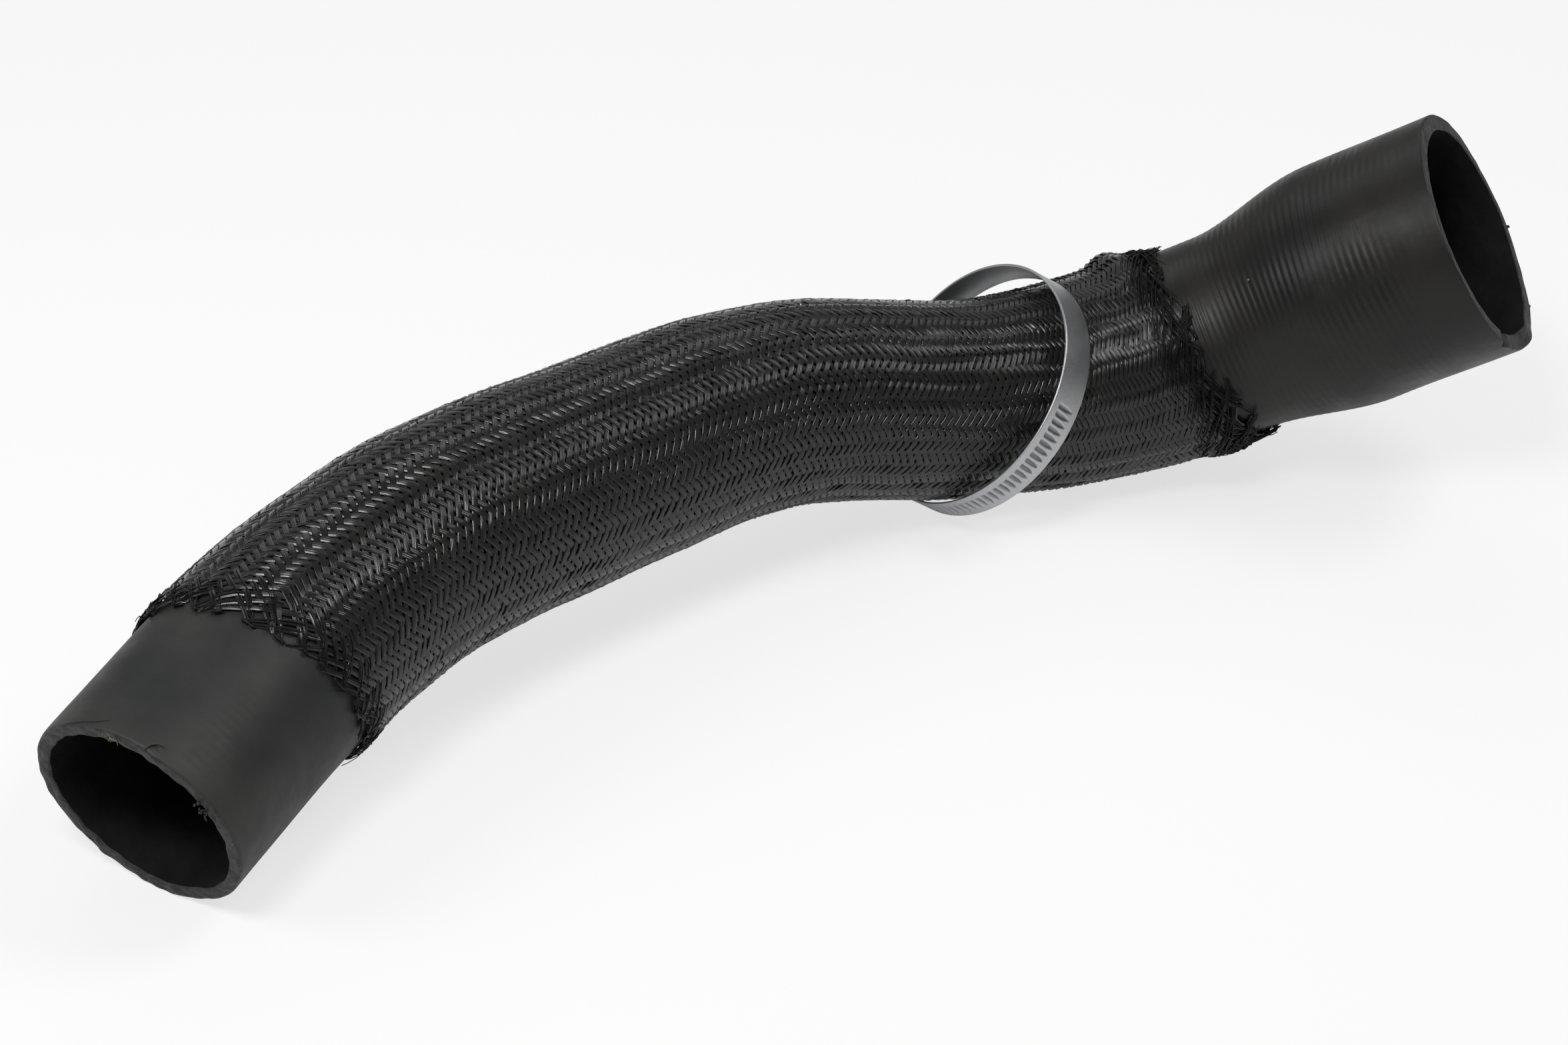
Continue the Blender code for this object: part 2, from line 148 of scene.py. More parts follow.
# Braid: the spacing of its tapes along the hose, where it is drawn out or pushed together
TAPE_SPACINGS = (
    (40.0, 2.95), (150.0, 3.1), (210.0, 2.9), (250.0, 3.2), (330.0, 2.8), (385.0, 2.35), (460.0, 2.5),
)
STRETCH_ROUND = 0.07
STRETCH_TURN = 80.0
PLEATS = 18
PLEAT_HEIGHT = 0.38
PLEAT_MEANDER = 1.6
PLEAT_UNEVENNESS = 0.7
PLEATS_FROM = 270.0
PLEATS_FULL = 370.0

# Braid: its cut edges, where the tapes draw together to short melted bars
CUFF_EDGE_WAVE = 1.0
BELL_EDGE_WAVE = 1.6
EDGE_DROP = 0.9
EDGE_DROP_LENGTH = 6.0
CUFF_BARS = 26
CUFF_BAR_LENGTHS = (1.0, 6.5)
CUFF_BAR_PLACES = (-0.8, 1.2)
CUFF_GATHER = 7.0
CUFF_NARROWS = 0.45
BELL_BARS = 30
BELL_BAR_LENGTHS = (0.8, 3.2)
BELL_BAR_PLACES = (-0.8, 3.0)
BELL_GATHER = 9.0
BELL_NARROWS = 0.15
BAR_THICKNESS = 1.15
BAR_THICKNESS_VARIES = (0.7, 1.2)
BAR_JITTER = 0.28
BAR_LUMPS = 0.3
BAR_LIFT = 0.8

# Braid: the roll in front of the bell
ROLL_HEIGHT = 1.2
ROLL_UNEVENNESS = 0.5
ROLL_BACK = 13.0
ROLL_WIDTH = 5.5
ROLL_TOP_HEIGHT = 3.2
ROLL_TOP_BACK = 19.0
ROLL_TOP_TURN = -36.0
ROLL_TOP_WIDTH = 26.0

# Loose filaments at the two edges: how many to a tape, how far they stray and rise
CUFF_LOOSE = (3, 0.7, 0.5)
BELL_LOOSE = (12, 1.5, 1.3)
CUFF_TIP_ROWS = 9
BELL_TIP_ROWS = 14
FILAMENT_DIAMETER = 0.31
FILAMENT_DIAMETER_VARIES = (0.75, 1.1)
FILAMENT_LIFT = 0.3
FILAMENT_STEPS = 12
FILAMENT_SIDES = 5

# Filaments that stand free past the edge: the share of tapes and of single ones, and how far they go
FREE_TAPES = 0.25
FREE_SINGLES = 0.08
FREE_PAST = (0.5, 3.5)
FREE_ASIDE = 1.6
FREE_RISE = 0.8

# Scraps on the rims: a place is an angle in degrees and a distance from the cut end
CRACKS = (
    ((326.0, -0.2), (332.0, 0.5), (338.0, 1.3), (346.0, 2.2), (353.0, 4.0)),
    ((58.0, 0.3), (64.0, 0.9), (70.0, 1.0), (76.0, 1.3), (82.0, 1.0)),
)
CRACK_WIDTH = 0.34
CURL = ((15.5, -0.6), (16.0, 1.0), (17.0, 2.6), (19.5, 3.6), (22.5, 3.5))
CURL_THICKNESS = 0.95
BURR_TURN = 56.0
BURR_CRUMBS = 9
BURR_CRUMB_THICKNESSES = (0.5, 1.1)
NIB_TURNS = (239.0, 197.0)
NIB_THICKNESS = 1.0
FIBRE_TUFT_TURNS = (353.0, 357.0)
FIBRES_IN_TUFT = 7
FIBRE_PAIR_TURNS = (82.0, 169.0, 267.0)
FIBRES_IN_PAIR = 2
FIBRE_DIAMETER = 0.14
FIBRE_SIDES = 4

# Clamp band
LOOP_CENTRE = (85.6, 29.9, 39.8)
LOOP_ROTATION = (129.17, 22.25, 99.71)
LOOP_RADIUS = 44.05
LOOP_OVALITY = 0.02
LOOP_LONG_WAY = -35.0
BAND_WIDTH = 12.0
BAND_THICKNESS = 0.9
BAND_LAYER_GAP = 0.3
TONGUE_ANGLE = -14.0
TAIL_ANGLE = 382.0
LIFT_START_ANGLE = 326.0
LIFT_END_ANGLE = 346.0
GROOVE_START_ANGLE = 180.0
GROOVE_PITCH = 2.7
GROOVE_WIDTH = 2.1
GROOVE_LENGTH = 6.4
GROOVE_SLANT = 0.7
GROOVE_DEPTH = 0.65
GROOVE_TAPER = 0.85
GROOVE_FOOT = 0.12
GROOVE_FLANK = 1.6

# Steel: the rounding of edges, the points of the band's mesh, and colour and roughness of each piece
BAND_EDGE_ROUND = 0.25
HOUSING_EDGE_ROUND = 0.25
SCREW_EDGE_ROUND = 0.15
ROUNDED_FROM_ANGLE = 35.0
BAND_STEP_ANGLE = 0.45
BAND_FACE_POINTS = 45
BAND_STEEL = ((0.5, 0.51, 0.52), 0.4)
HOUSING_STEEL = ((0.55, 0.55, 0.55), 0.34)
SCREW_STEEL = ((0.6, 0.6, 0.58), 0.28)
STEEL_GRAIN_SHADE = 0.86
# Painted shade in the pressed grooves: the share of the steel's colour that is left at their full
# depth
STEEL_GROOVE_PAINTED_SHADE = 0.4

# Rubber and braid: colours and roughnesses by the level of a noise, and the colours of specks
PLAIN_RUBBER = ((0.35, (0.0082, 0.008, 0.0078)), (0.7, (0.014, 0.013, 0.0115)))
# The cuff's colours are lighter partly from dust and partly as a painted sheen, and their wide spread
# paints patches of highlight
DUSTY_AND_SHEEN_RUBBER = ((0.35, (0.0165, 0.017, 0.0172)), (0.7, (0.033, 0.0328, 0.031)))
PLAIN_ROUGHNESS = ((0.3, 0.35), (0.7, 0.46))
DUSTY_ROUGHNESS = ((0.3, 0.46), (0.7, 0.58))
DUST_SPECK = (0.2, 0.19, 0.165)
CUT_RUBBER = ((0.35, (0.013, 0.013, 0.0135)), (0.75, (0.042, 0.043, 0.044)))
PLY_SPECK = (0.22, 0.19, 0.11)
PLY_THREAD = ((0.3, (0.16, 0.14, 0.09)), (0.7, (0.42, 0.39, 0.3)))
# The bore's colours are darker than the skin's as painted shade inside the hose
BORE_RUBBER_PAINTED_SHADE = ((0.35, (0.0045, 0.0045, 0.0045)), (0.75, (0.011, 0.0105, 0.01)))
TAPE_BLACK = ((0.35, (0.0085, 0.0085, 0.0085)), (0.75, (0.0145, 0.0142, 0.0135)))
TAPE_ROUGHNESS = ((0.3, 0.13), (0.7, 0.26))
FILAMENTS_IN_TAPE = 4
FILAMENT_SECTION = ((0.0, 0.0), (0.6, 0.8), (1.0, 1.0))
FILAMENT_BLACK = ((0.3, 0.002), (0.8, 0.005))

# Studio: the even light, and the soft lamps by name, place, size and power
EVEN_LIGHT = 0.2
LAMP_TARGET = (0.0, 0.0, 0.05)
LAMPS = (
    ("left_softbox", (-1.0, 0.16, 0.8), (0.45, 0.45), 3.8),
    ("front_softbox", (-0.56, -0.39, 1.1), (0.28, 0.28), 7.0),
    ("right_softbox", (0.6, -0.25, 1.1), (0.42, 0.42), 5.2),
    ("back_softbox", (0.25, 1.0, 0.9), (1.5, 0.6), 3.2),
)

# Studio: the floor, and the share of pure white that each kind of ray sees in it
FLOOR_REACH = 6.0
FLOOR_GREY = 0.86
FLOOR_WHITE = (("Is Camera Ray", 0.7), ("Is Transmission Ray", 0.7), ("Is Glossy Ray", 0.2))

# Camera
CAMERA_PLACE = (-462.71, -743.71, 679.48)
CAMERA_ROTATION = (53.25, -2.95, -29.40)
FOCAL_PIXELS = 5000.0
IMAGE_WIDTH = 2352
SENSOR_WIDTH = 36.0
CLIP_RANGE = (0.05, 30.0)


class Centreline:
    """A natural cubic spline through the route, read at any number of distances at once."""

    def __init__(self, route):
        self.points = np.array(route, dtype=float)
        steps = np.linalg.norm(np.diff(self.points, axis=0), axis=1)
        self.knots = np.concatenate(([0.0], np.cumsum(steps)))
        self.length = self.knots[-1]
        count = len(self.points)
        system = np.eye(count)
        right = np.zeros((count, 3))
        slopes = np.diff(self.points, axis=0) / steps[:, None]
        for i in range(1, count - 1):
            system[i, i - 1 : i + 2] = steps[i - 1], 2.0 * (steps[i - 1] + steps[i]), steps[i]
            right[i] = 6.0 * (slopes[i] - slopes[i - 1])
        self.bends = np.linalg.solve(system, right)

    def point(self, distance):
        i = np.clip(np.searchsorted(self.knots, distance) - 1, 0, len(self.knots) - 2)
        step = (self.knots[i + 1] - self.knots[i])[..., None]
        b = (distance - self.knots[i])[..., None] / step
        a = 1.0 - b
        ends = a * self.points[i] + b * self.points[i + 1]
        bend = (a**3 - a) * self.bends[i] + (b**3 - b) * self.bends[i + 1]
        return ends + bend * step * step / 6.0

    def place(self, distance, radius, angle):
        """Points at a distance along, a radius out and an angle round, 0 being up."""
        inside = np.clip(distance, 0.0, self.length)
        reach = 0.5
        low = np.clip(inside - reach, 0.0, self.length)
        high = np.clip(inside + reach, 0.0, self.length)
        along = self.point(high) - self.point(low)
        along /= np.linalg.norm(along, axis=-1, keepdims=True)
        up = np.array((0.0, 0.0, 1.0)) - along * along[..., 2:3]
        up /= np.linalg.norm(up, axis=-1, keepdims=True)
        side = np.cross(along, up)
        centre = self.point(inside) + along * (distance - inside)[..., None] + REST_SHIFT
        out = np.cos(angle)[..., None] * up + np.sin(angle)[..., None] * side
        return centre + radius[..., None] * out


LINE = Centreline(ROUTE)


def eased(stations, distance):
    """Reads values between stations, with a level tangent at each."""
    places = np.array([place for place, _ in stations])
    values = np.array([value for _, value in stations])
    i = np.clip(np.searchsorted(places, distance) - 1, 0, len(places) - 2)
    t = np.clip((distance - places[i]) / (places[i + 1] - places[i]), 0.0, 1.0)
    return values[i] + (values[i + 1] - values[i]) * t * t * (3.0 - 2.0 * t)


def hose_radius(distance):
    """Outer radius of the rubber at distances from the cuff's end."""
    stations = (
        (0.0, CUFF_DIAMETER),
        (CUFF_LENGTH, CUFF_DIAMETER),
        (BODY_AT, BODY_DIAMETER),
        (WAIST_AT, WAIST_DIAMETER),
        (SHOULDER_AT, SHOULDER_DIAMETER),
        (LINE.length - NECK_FROM_BELL_END, NECK_DIAMETER),
        (LINE.length - BELL_LENGTH, BELL_DIAMETER),
        (LINE.length, BELL_DIAMETER),
    )
    return eased(stations, distance) / 2.0


def uneven(angle, along, seed, turns, pitch=1.0, waves=12):
    """A smooth uneven field of about unit height that closes round the hose."""
    rng = np.random.default_rng(seed)
    total = 0.0
    for _ in range(waves):
        wave = rng.integers(1, turns + 1) * angle + rng.uniform(0.0, math.tau)
        run = rng.choice((-1.0, 1.0)) * math.tau / (pitch * rng.uniform(0.7, 2.0))
        total = total + rng.normal() * np.sin(wave + run * along)
    return total / math.sqrt(waves)


def grid_faces(rows, columns, close_rows=False, close_columns=True):
    """Quads over a grid of vertices that are numbered row by row."""
    row = np.arange(rows if close_rows else rows - 1)
    column = np.arange(columns if close_columns else columns - 1)
    r, c = (part.ravel() for part in np.meshgrid(row, column, indexing="ij"))
    next_r, next_c = (r + 1) % rows, (c + 1) % columns
    corners = (r * columns + c, r * columns + next_c, next_r * columns + next_c, next_r * columns + c)
    return np.stack(corners, axis=1)


def add_mesh(name, points, faces, finishes, uv=None, finish_of_face=None):
    """A smooth mesh object in metres from points in millimetres and quads, none below the floor."""
    points[:, 2] = np.maximum(points[:, 2], 0.0)
    mesh = bpy.data.meshes.new(name)
    mesh.vertices.add(len(points))
    mesh.vertices.foreach_set("co", (np.asarray(points, np.float32) * MM).ravel())
    mesh.loops.add(faces.size)
    mesh.loops.foreach_set("vertex_index", faces.ravel().astype(np.int32))
    mesh.polygons.add(len(faces))
    mesh.polygons.foreach_set("loop_start", np.arange(0, faces.size, 4, dtype=np.int32))
    for finish in finishes:
        mesh.materials.append(finish)
    if finish_of_face is not None:
        mesh.polygons.foreach_set("material_index", finish_of_face.astype(np.int32))
    mesh.update(calc_edges=True)
    if uv is not None:
        layer = mesh.uv_layers.new(name="along_and_across")
        layer.data.foreach_set("uv", np.asarray(uv, np.float32)[faces.ravel()].ravel())
    mesh.shade_smooth()
    made = bpy.data.objects.new(name, mesh)
    bpy.context.scene.collection.objects.link(made)
    return made


# Finishes


class Finish:
    """A material in the making: its shader and the textures that feed it."""

    def __init__(self, name, specular=0.5, metallic=0.0):
        self.material = bpy.data.materials.new(name)
        self.material.use_nodes = True
        self.nodes = self.material.node_tree.nodes
        self.links = self.material.node_tree.links
        self.shader = self.nodes["Principled BSDF"]
        self.set("Specular IOR Level", specular)
        self.set("Metallic", metallic)
        coordinate = self.nodes.new("ShaderNodeTexCoord")
        self.place = coordinate.outputs["Object"]
        self.uv = coordinate.outputs["UV"]

    def feed(self, socket, value):
        """Links a socket to another one, or gives it a number or a colour of its own."""
        if isinstance(value, bpy.types.NodeSocket):
            self.links.new(value, socket)
        elif isinstance(value, tuple) and len(value) == 3 and socket.type == "RGBA":
            socket.default_value = (*value, 1.0)
        else:
            socket.default_value = value

    def set(self, name, value):
        """Feeds a socket of the shader."""
        self.feed(self.shader.inputs[name], value)

    def calculated(self, operation, *values):
        """The result of one arithmetic step on sockets or numbers."""
        made = self.nodes.new("ShaderNodeMath")
        made.operation = operation
        for socket, value in zip(made.inputs, values):
            self.feed(socket, value)
        return made.outputs["Value"]

    def axis(self, vector, name):
        """One of the three numbers of a vector."""
        made = self.nodes.new("ShaderNodeSeparateXYZ")
        self.feed(made.inputs["Vector"], vector)
        return made.outputs[name]

    def noise(self, scale, detail=3.0, source=None, stretch=None):
        """A noise over the part, or over another source, with its own stretch."""
        source = source or self.place
        texture = self.nodes.new("ShaderNodeTexNoise")
        texture.inputs["Scale"].default_value = scale
        texture.inputs["Detail"].default_value = detail
        if stretch:
            mapping = self.nodes.new("ShaderNodeMapping")
            mapping.inputs["Scale"].default_value = stretch
            self.feed(mapping.inputs["Vector"], source)
            source = mapping.outputs["Vector"]
        self.feed(texture.inputs["Vector"], source)
        return texture.outputs["Fac"]

    def ramp(self, value, stops):
        """Colours or levels read off a value."""
        made = self.nodes.new("ShaderNodeValToRGB")
        elements = made.color_ramp.elements
        while len(elements) < len(stops):
            elements.new(0.5)
        for element, (position, colour) in zip(elements, stops):
            parts = colour if isinstance(colour, tuple) else (colour, colour, colour)
            element.position = position
            element.color = (*parts, 1.0)
        self.feed(made.inputs["Fac"], value)
        return made.outputs["Color"]

    def bump(self, height, distance, below=None):
        """Adds a bump to the shader, on top of one below it."""
        made = self.nodes.new("ShaderNodeBump")
        made.inputs["Strength"].default_value = 1.0
        made.inputs["Distance"].default_value = distance
        self.feed(made.inputs["Height"], height)
        if below:
            self.feed(made.inputs["Normal"], below)
        self.set("Normal", made.outputs["Normal"])
        return made.outputs["Normal"]

    def specks(self, scale, share, size):
        """A mask of tiny scattered dots: how many cells of a grid have one, and how large it is."""
        cells = self.nodes.new("ShaderNodeTexVoronoi")
        cells.inputs["Scale"].default_value = scale
        self.feed(cells.inputs["Vector"], self.place)
        near = self.ramp(cells.outputs["Distance"], ((size, 1.0), (size + 0.02, 0.0)))
        chosen = self.calculated("LESS_THAN", cells.outputs["Color"], share)
        return self.calculated("MULTIPLY", near, chosen)

    def mixed(self, share, first, second):
        """The first colour, with the second where the share is one."""
        made = self.nodes.new("ShaderNodeMix")
        made.data_type = "RGBA"
        colours = {part.name: part for part in made.inputs if part.type == "RGBA"}
        self.feed(made.inputs["Factor"], share)
        self.feed(colours["A"], first)
        self.feed(colours["B"], second)
        return next(part for part in made.outputs if part.type == "RGBA")


def rubber_finish():
    """Matt black rubber with pale specks all over; towards the cuff it is dusty and duller, and
    lighter partly from the dust and partly as a painted sheen.
    """
    made = Finish("rubber", specular=0.28)
    # Towards the cuff the skin is lighter: partly dust, partly a painted sheen in place of a broad
    # highlight
    dust_and_sheen = made.nodes.new("ShaderNodeMapRange")
    dust_and_sheen.inputs["From Min"].default_value = DUST_AND_SHEEN_ENDS_AT * MM
    dust_and_sheen.inputs["From Max"].default_value = DUST_AND_SHEEN_FULL_AT * MM
    made.feed(dust_and_sheen.inputs["Value"], made.axis(made.place, "X"))
    near_cuff = dust_and_sheen.outputs["Result"]
    cloud = made.noise(28.0, 4.0)
    skin = made.mixed(near_cuff, made.ramp(cloud, PLAIN_RUBBER), made.ramp(cloud, DUSTY_AND_SHEEN_RUBBER))
    dots = made.specks(170.0, share=0.1, size=0.05)
    made.set("Base Color", made.mixed(dots, skin, DUST_SPECK))
    patches = made.noise(110.0, 2.0)
    smooth, dull = made.ramp(patches, PLAIN_ROUGHNESS), made.ramp(patches, DUSTY_ROUGHNESS)
    made.set("Roughness", made.mixed(near_cuff, smooth, dull))
    grain = made.bump(made.noise(1700.0, 2.0), 0.00002)
    made.bump(patches, 0.00026, below=grain)
    return made.material


def cut_finish():
    """The sawn face of the rubber: rougher and greyer, with bits of the yellowish ply in it."""
    made = Finish("rubber_cut", specular=0.3)
    made.set("Roughness", 0.55)
    plain = made.ramp(made.noise(260.0, 5.0), CUT_RUBBER)
    dots = made.specks(420.0, share=0.13, size=0.12)
    made.set("Base Color", made.mixed(dots, plain, PLY_SPECK))
    made.bump(made.noise(600.0, 4.0), 0.0007)
    return made.material


def bore_finish():
    """The dull, cloth-marked inside of the hose, darker than the skin with painted shade."""
    made = Finish("rubber_bore", specular=0.12)
    made.set("Roughness", 0.8)
    cloud = made.noise(90.0, 5.0)
    # Painted shade: a darker colour than the skin's inside the hose
    made.set("Base Color", made.ramp(cloud, BORE_RUBBER_PAINTED_SHADE))
    made.bump(cloud, 0.0012)
    return made.material


def fibre_finish():
    """Raw yellowish ply thread."""
    made = Finish("ply_fibre")
    made.set("Roughness", 0.7)
    made.set("Base Color", made.ramp(made.noise(500.0, 2.0), PLY_THREAD))
    return made.material


def tape_finish():
    """Glossy black plastic that shows the filaments lying side by side in a tape."""
    made = Finish("braid", specular=0.44)
    made.set("Base Color", made.ramp(made.noise(60.0), TAPE_BLACK))
    made.set("Anisotropic", 0.75)
    tangent = made.nodes.new("ShaderNodeTangent")
    tangent.direction_type = "UV_MAP"
    tangent.uv_map = "along_and_across"
    made.set("Tangent", tangent.outputs["Tangent"])
    streaks = made.noise(1.0, 1.0, source=made.uv, stretch=(5.0, 0.12, 1.0))
    made.set("Roughness", made.ramp(streaks, TAPE_ROUGHNESS))
    halves = made.calculated("MULTIPLY", made.axis(made.uv, "X"), 2.0 * FILAMENTS_IN_TAPE)
    section = made.calculated("PINGPONG", halves, 1.0)
    made.bump(made.ramp(section, FILAMENT_SECTION), 0.00006)
    return made.material


def filament_finish():
    """The same plastic, duller where it was cut and melted."""
    made = Finish("braid_filament", specular=0.22)
    made.set("Roughness", 0.45)
    made.set("Base Color", made.ramp(made.noise(60.0), FILAMENT_BLACK))
    return made.material


def steel_finish(name, colour, roughness, pressed=False):
    """Satin steel with a fine even grain and a few duller patches, with painted shade that darkens it
    where it is pressed in.
    """
    made = Finish(name, metallic=1.0)
    grain = made.noise(1500.0)
    dark = tuple(STEEL_GRAIN_SHADE * part for part in colour)
    face = made.ramp(grain, ((0.3, dark), (0.7, colour)))
    if pressed:
        # Painted shade: the grooves are darkened by their depth
        depth = made.nodes.new("ShaderNodeAttribute")
        depth.attribute_name = "pressed"
        painted_groove_shade = tuple(STEEL_GROOVE_PAINTED_SHADE * part for part in colour)
        face = made.mixed(depth.outputs["Fac"], face, painted_groove_shade)
    made.set("Base Color", face)
    levels = ((0.3, roughness - 0.05), (0.7, roughness + 0.08))
    made.set("Roughness", made.ramp(made.noise(70.0), levels))
    made.bump(grain, 0.00003)
    return made.material


# Pieces


def swelling(angle, turn, width):
    """A smooth rise of height one at one place round the hose; turn and width in degrees."""
    away = (np.degrees(angle) - turn + 180.0) % 360.0 - 180.0
    return np.exp(-((away / width) ** 2))


def rim_shift(angle, seed, depth):
    """How far an uneven cut reaches past the mean end of the hose."""
    broad = uneven(angle, 0.0, seed, turns=7)
    fine = uneven(angle, 0.0, seed + 1, turns=30)
    return depth * (0.75 * broad + 0.25 * fine)


def stretch(start, end, step):
    """Even places from start to end, without the start."""
    return list(np.linspace(start, end, max(2, round((end - start) / step)) + 1)[1:])


def hose_rows():
    """Distance and depth below the skin of each ring of points, once round the wall."""
    length = LINE.length
    bare_start = SLEEVE_START + SLEEVE_START_SLANT + BARE_STEPS_UNDER_SLEEVE
    sleeve_end = length - SLEEVE_END_FROM_BELL_END
    bare_end = sleeve_end - SLEEVE_END_SLANT - BARE_STEPS_UNDER_SLEEVE
    skin = [CUFF_RIM_ROUND] + stretch(CUFF_RIM_ROUND, bare_start, BARE_STEP)
    skin += stretch(bare_start, bare_end, HIDDEN_STEP)
    skin += stretch(bare_end, length - BELL_RIM_ROUND, BARE_STEP)
    bore = stretch(CUFF_RIM_ROUND, length - BELL_RIM_ROUND, BORE_STEP)[::-1] + [CUFF_RIM_ROUND]
    turn = np.linspace(0.0, math.pi / 2.0, RIM_ROUND_STEPS)[1:-1]
    leaving, entering = 1.0 - np.sin(turn), 1.0 - np.cos(turn)
    bell, cuff = BELL_RIM_ROUND, CUFF_RIM_ROUND
    rows = [(distance, 0.0) for distance in skin]
    rows += [(length - bell * x, bell * y) for x, y in zip(leaving, entering)]
    rows += [(length, depth) for depth in np.linspace(bell, HOSE_WALL - bell, BELL_FACE_STEPS)]
    rows += [(length - bell * y, HOSE_WALL - bell * x) for x, y in zip(leaving, entering)]
    rows += [(distance, HOSE_WALL) for distance in bore]
    rows += [(cuff * x, HOSE_WALL - cuff * y) for x, y in zip(leaving, entering)]
    rows += [(0.0, depth) for depth in np.linspace(HOSE_WALL - cuff, cuff, CUFF_FACE_STEPS)]
    rows += [(cuff * y, cuff * x) for x, y in zip(leaving, entering)]
    return np.array(rows)


def make_hose(finishes):
    """The rubber as one closed surface; the finishes are those of skin, cut rims and bore."""
    length = LINE.length
    rows = hose_rows()
    angle = np.linspace(0.0, math.tau, HOSE_SIDES, endpoint=False)[None, :]
    distance, depth = rows[:, :1], rows[:, 1:]
    near_cuff = np.clip(1.0 - distance / RIM_REACH, 0.0, 1.0) ** 2
    near_bell = np.clip(1.0 - (length - distance) / RIM_REACH, 0.0, 1.0) ** 2
    corner = BELL_CORNER_REACH * swelling(angle, BELL_CORNER_TURN, BELL_CORNER_SPREAD)
    notch = BELL_NOTCH_DEPTH * swelling(angle, BELL_NOTCH_TURN, BELL_NOTCH_SPREAD)
    bell_rim = rim_shift(angle, seed=21, depth=BELL_RIM_WAVE) + corner - notch
    cuff_rim = rim_shift(angle, seed=11, depth=CUFF_RIM_WAVE)
    moved = distance - near_cuff * cuff_rim + near_bell * bell_rim
    at_face = near_cuff**6 + FACE_LUMPS_SHARE_OF_BELL * near_bell**6
    moved = moved + FACE_LUMPS * at_face * uneven(angle, depth, seed=15, turns=45, pitch=3.0)

    mouth = np.clip(1.0 - (length - distance) / BELL_WALL_CHANGE_REACH, 0.0, 1.0)
    oval = np.cos(2.0 * (angle - math.radians(BELL_THICK_TURN)))
    lumps = BORE_LUMPS * uneven(angle, distance, seed=13, turns=30, pitch=14.0)
    lumps = lumps * (near_cuff + BORE_LUMPS_SHARE_OF_BELL * near_bell)
    wall = HOSE_WALL * (1.0 + BELL_WALL_CHANGE * mouth * oval) + lumps
    outside = np.clip(1.0 - depth / HOSE_WALL, 0.0, 1.0)
    skin_wave = SKIN_WAVE * uneven(angle, distance, seed=31, turns=5, pitch=60.0)
    skin_wave = skin_wave + CUFF_RIM_SWELL * near_cuff * uneven(angle, 0.0, seed=14, turns=11)
    stations = RINGS_NEAR_CUFF + tuple((length + place, share) for place, share in RINGS_NEAR_BELL)
    meander = RING_MEANDER * uneven(angle, distance, seed=32, turns=4, pitch=70.0)
    rings = np.sin(math.tau * distance / RING_PITCH + meander) * eased(stations, distance)
    facing = RING_SHARE_ALL_ROUND + RING_SHARE_AT_TURN * swelling(angle, RING_TURN, RING_SPREAD)
    patchy = 0.8 + 0.5 * uneven(angle, distance, seed=33, turns=9, pitch=30.0)
    rings = rings * RING_DEPTH * facing * patchy
    radius = hose_radius(distance) - depth / HOSE_WALL * wall + outside * (skin_wave + rings)
    points = LINE.place(moved, radius, angle)

    faces = grid_faces(len(rows), HOSE_SIDES, close_rows=True)
    middle = (depth[:, 0] + np.roll(depth[:, 0], -1)) / 2.0
    skin, cut, bore = range(3)
    kind = np.where(middle > SKIN_DEPTH, cut, skin)
    kind = np.where(middle > HOSE_WALL - BORE_DEPTH, bore, kind)
    finish_of_face = np.repeat(kind, HOSE_SIDES)
    made = add_mesh("hose_rubber", points.reshape(-1, 3), faces, finishes, None, finish_of_face)
    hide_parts("hose")
    return made


def sleeve_edges(angle):
    """The sleeve's first and last distance along the hose at angles round it."""
    start_turn = math.radians(SLEEVE_START_TURN + 180.0)
    end_turn = math.radians(SLEEVE_END_TURN)
    first = SLEEVE_START - SLEEVE_START_SLANT * np.cos(angle - start_turn)
    last = LINE.length - SLEEVE_END_FROM_BELL_END + SLEEVE_END_SLANT * np.cos(angle - end_turn)
    first = first + CUFF_EDGE_WAVE * uneven(angle, 0.0, seed=43, turns=17)
    last = last + BELL_EDGE_WAVE * uneven(angle, 0.0, seed=44, turns=13)
    return first, last


def sleeve_radius(distance, angle):
    """Middle of the braid, with its pleats, the roll before the bell and its drawn-in edges."""
    share = eased(((PLEATS_FROM, 0.0), (PLEATS_FULL, 1.0)), distance)
    meander = PLEAT_MEANDER * uneven(angle, distance, seed=41, turns=3, pitch=130.0)
    broken = PLEAT_UNEVENNESS * uneven(angle, distance, seed=42, turns=12, pitch=60.0)
    swell = share * PLEAT_HEIGHT * (np.sin(PLEATS * angle + meander) + broken)
    swell = swell + SLEEVE_WAVE * uneven(angle, distance, seed=46, turns=5, pitch=50.0)
    first, last = sleeve_edges(angle)
    lumps = ROLL_UNEVENNESS * uneven(angle, distance, seed=45, turns=9, pitch=40.0)
    roll = ROLL_HEIGHT * (1.0 + lumps) * np.exp(-(((last - ROLL_BACK - distance) / ROLL_WIDTH) ** 2))
    top = ROLL_TOP_HEIGHT * swelling(angle, ROLL_TOP_TURN, ROLL_TOP_WIDTH)
    roll = roll + top * np.exp(-(((last - ROLL_TOP_BACK - distance) / ROLL_WIDTH) ** 2))
    edge = np.minimum(distance - first, last - distance)
    drop = EDGE_DROP * np.clip(1.0 - edge / EDGE_DROP_LENGTH, 0.0, 1.1) ** 1.5
    swell = np.maximum(-SLEEVE_SINKS_AT_MOST, swell) + np.maximum(0.0, roll)
    rubber = hose_radius(np.clip(distance, 0.0, LINE.length))
    return rubber + SLEEVE_GAP + SLEEVE_WALL + swell - drop


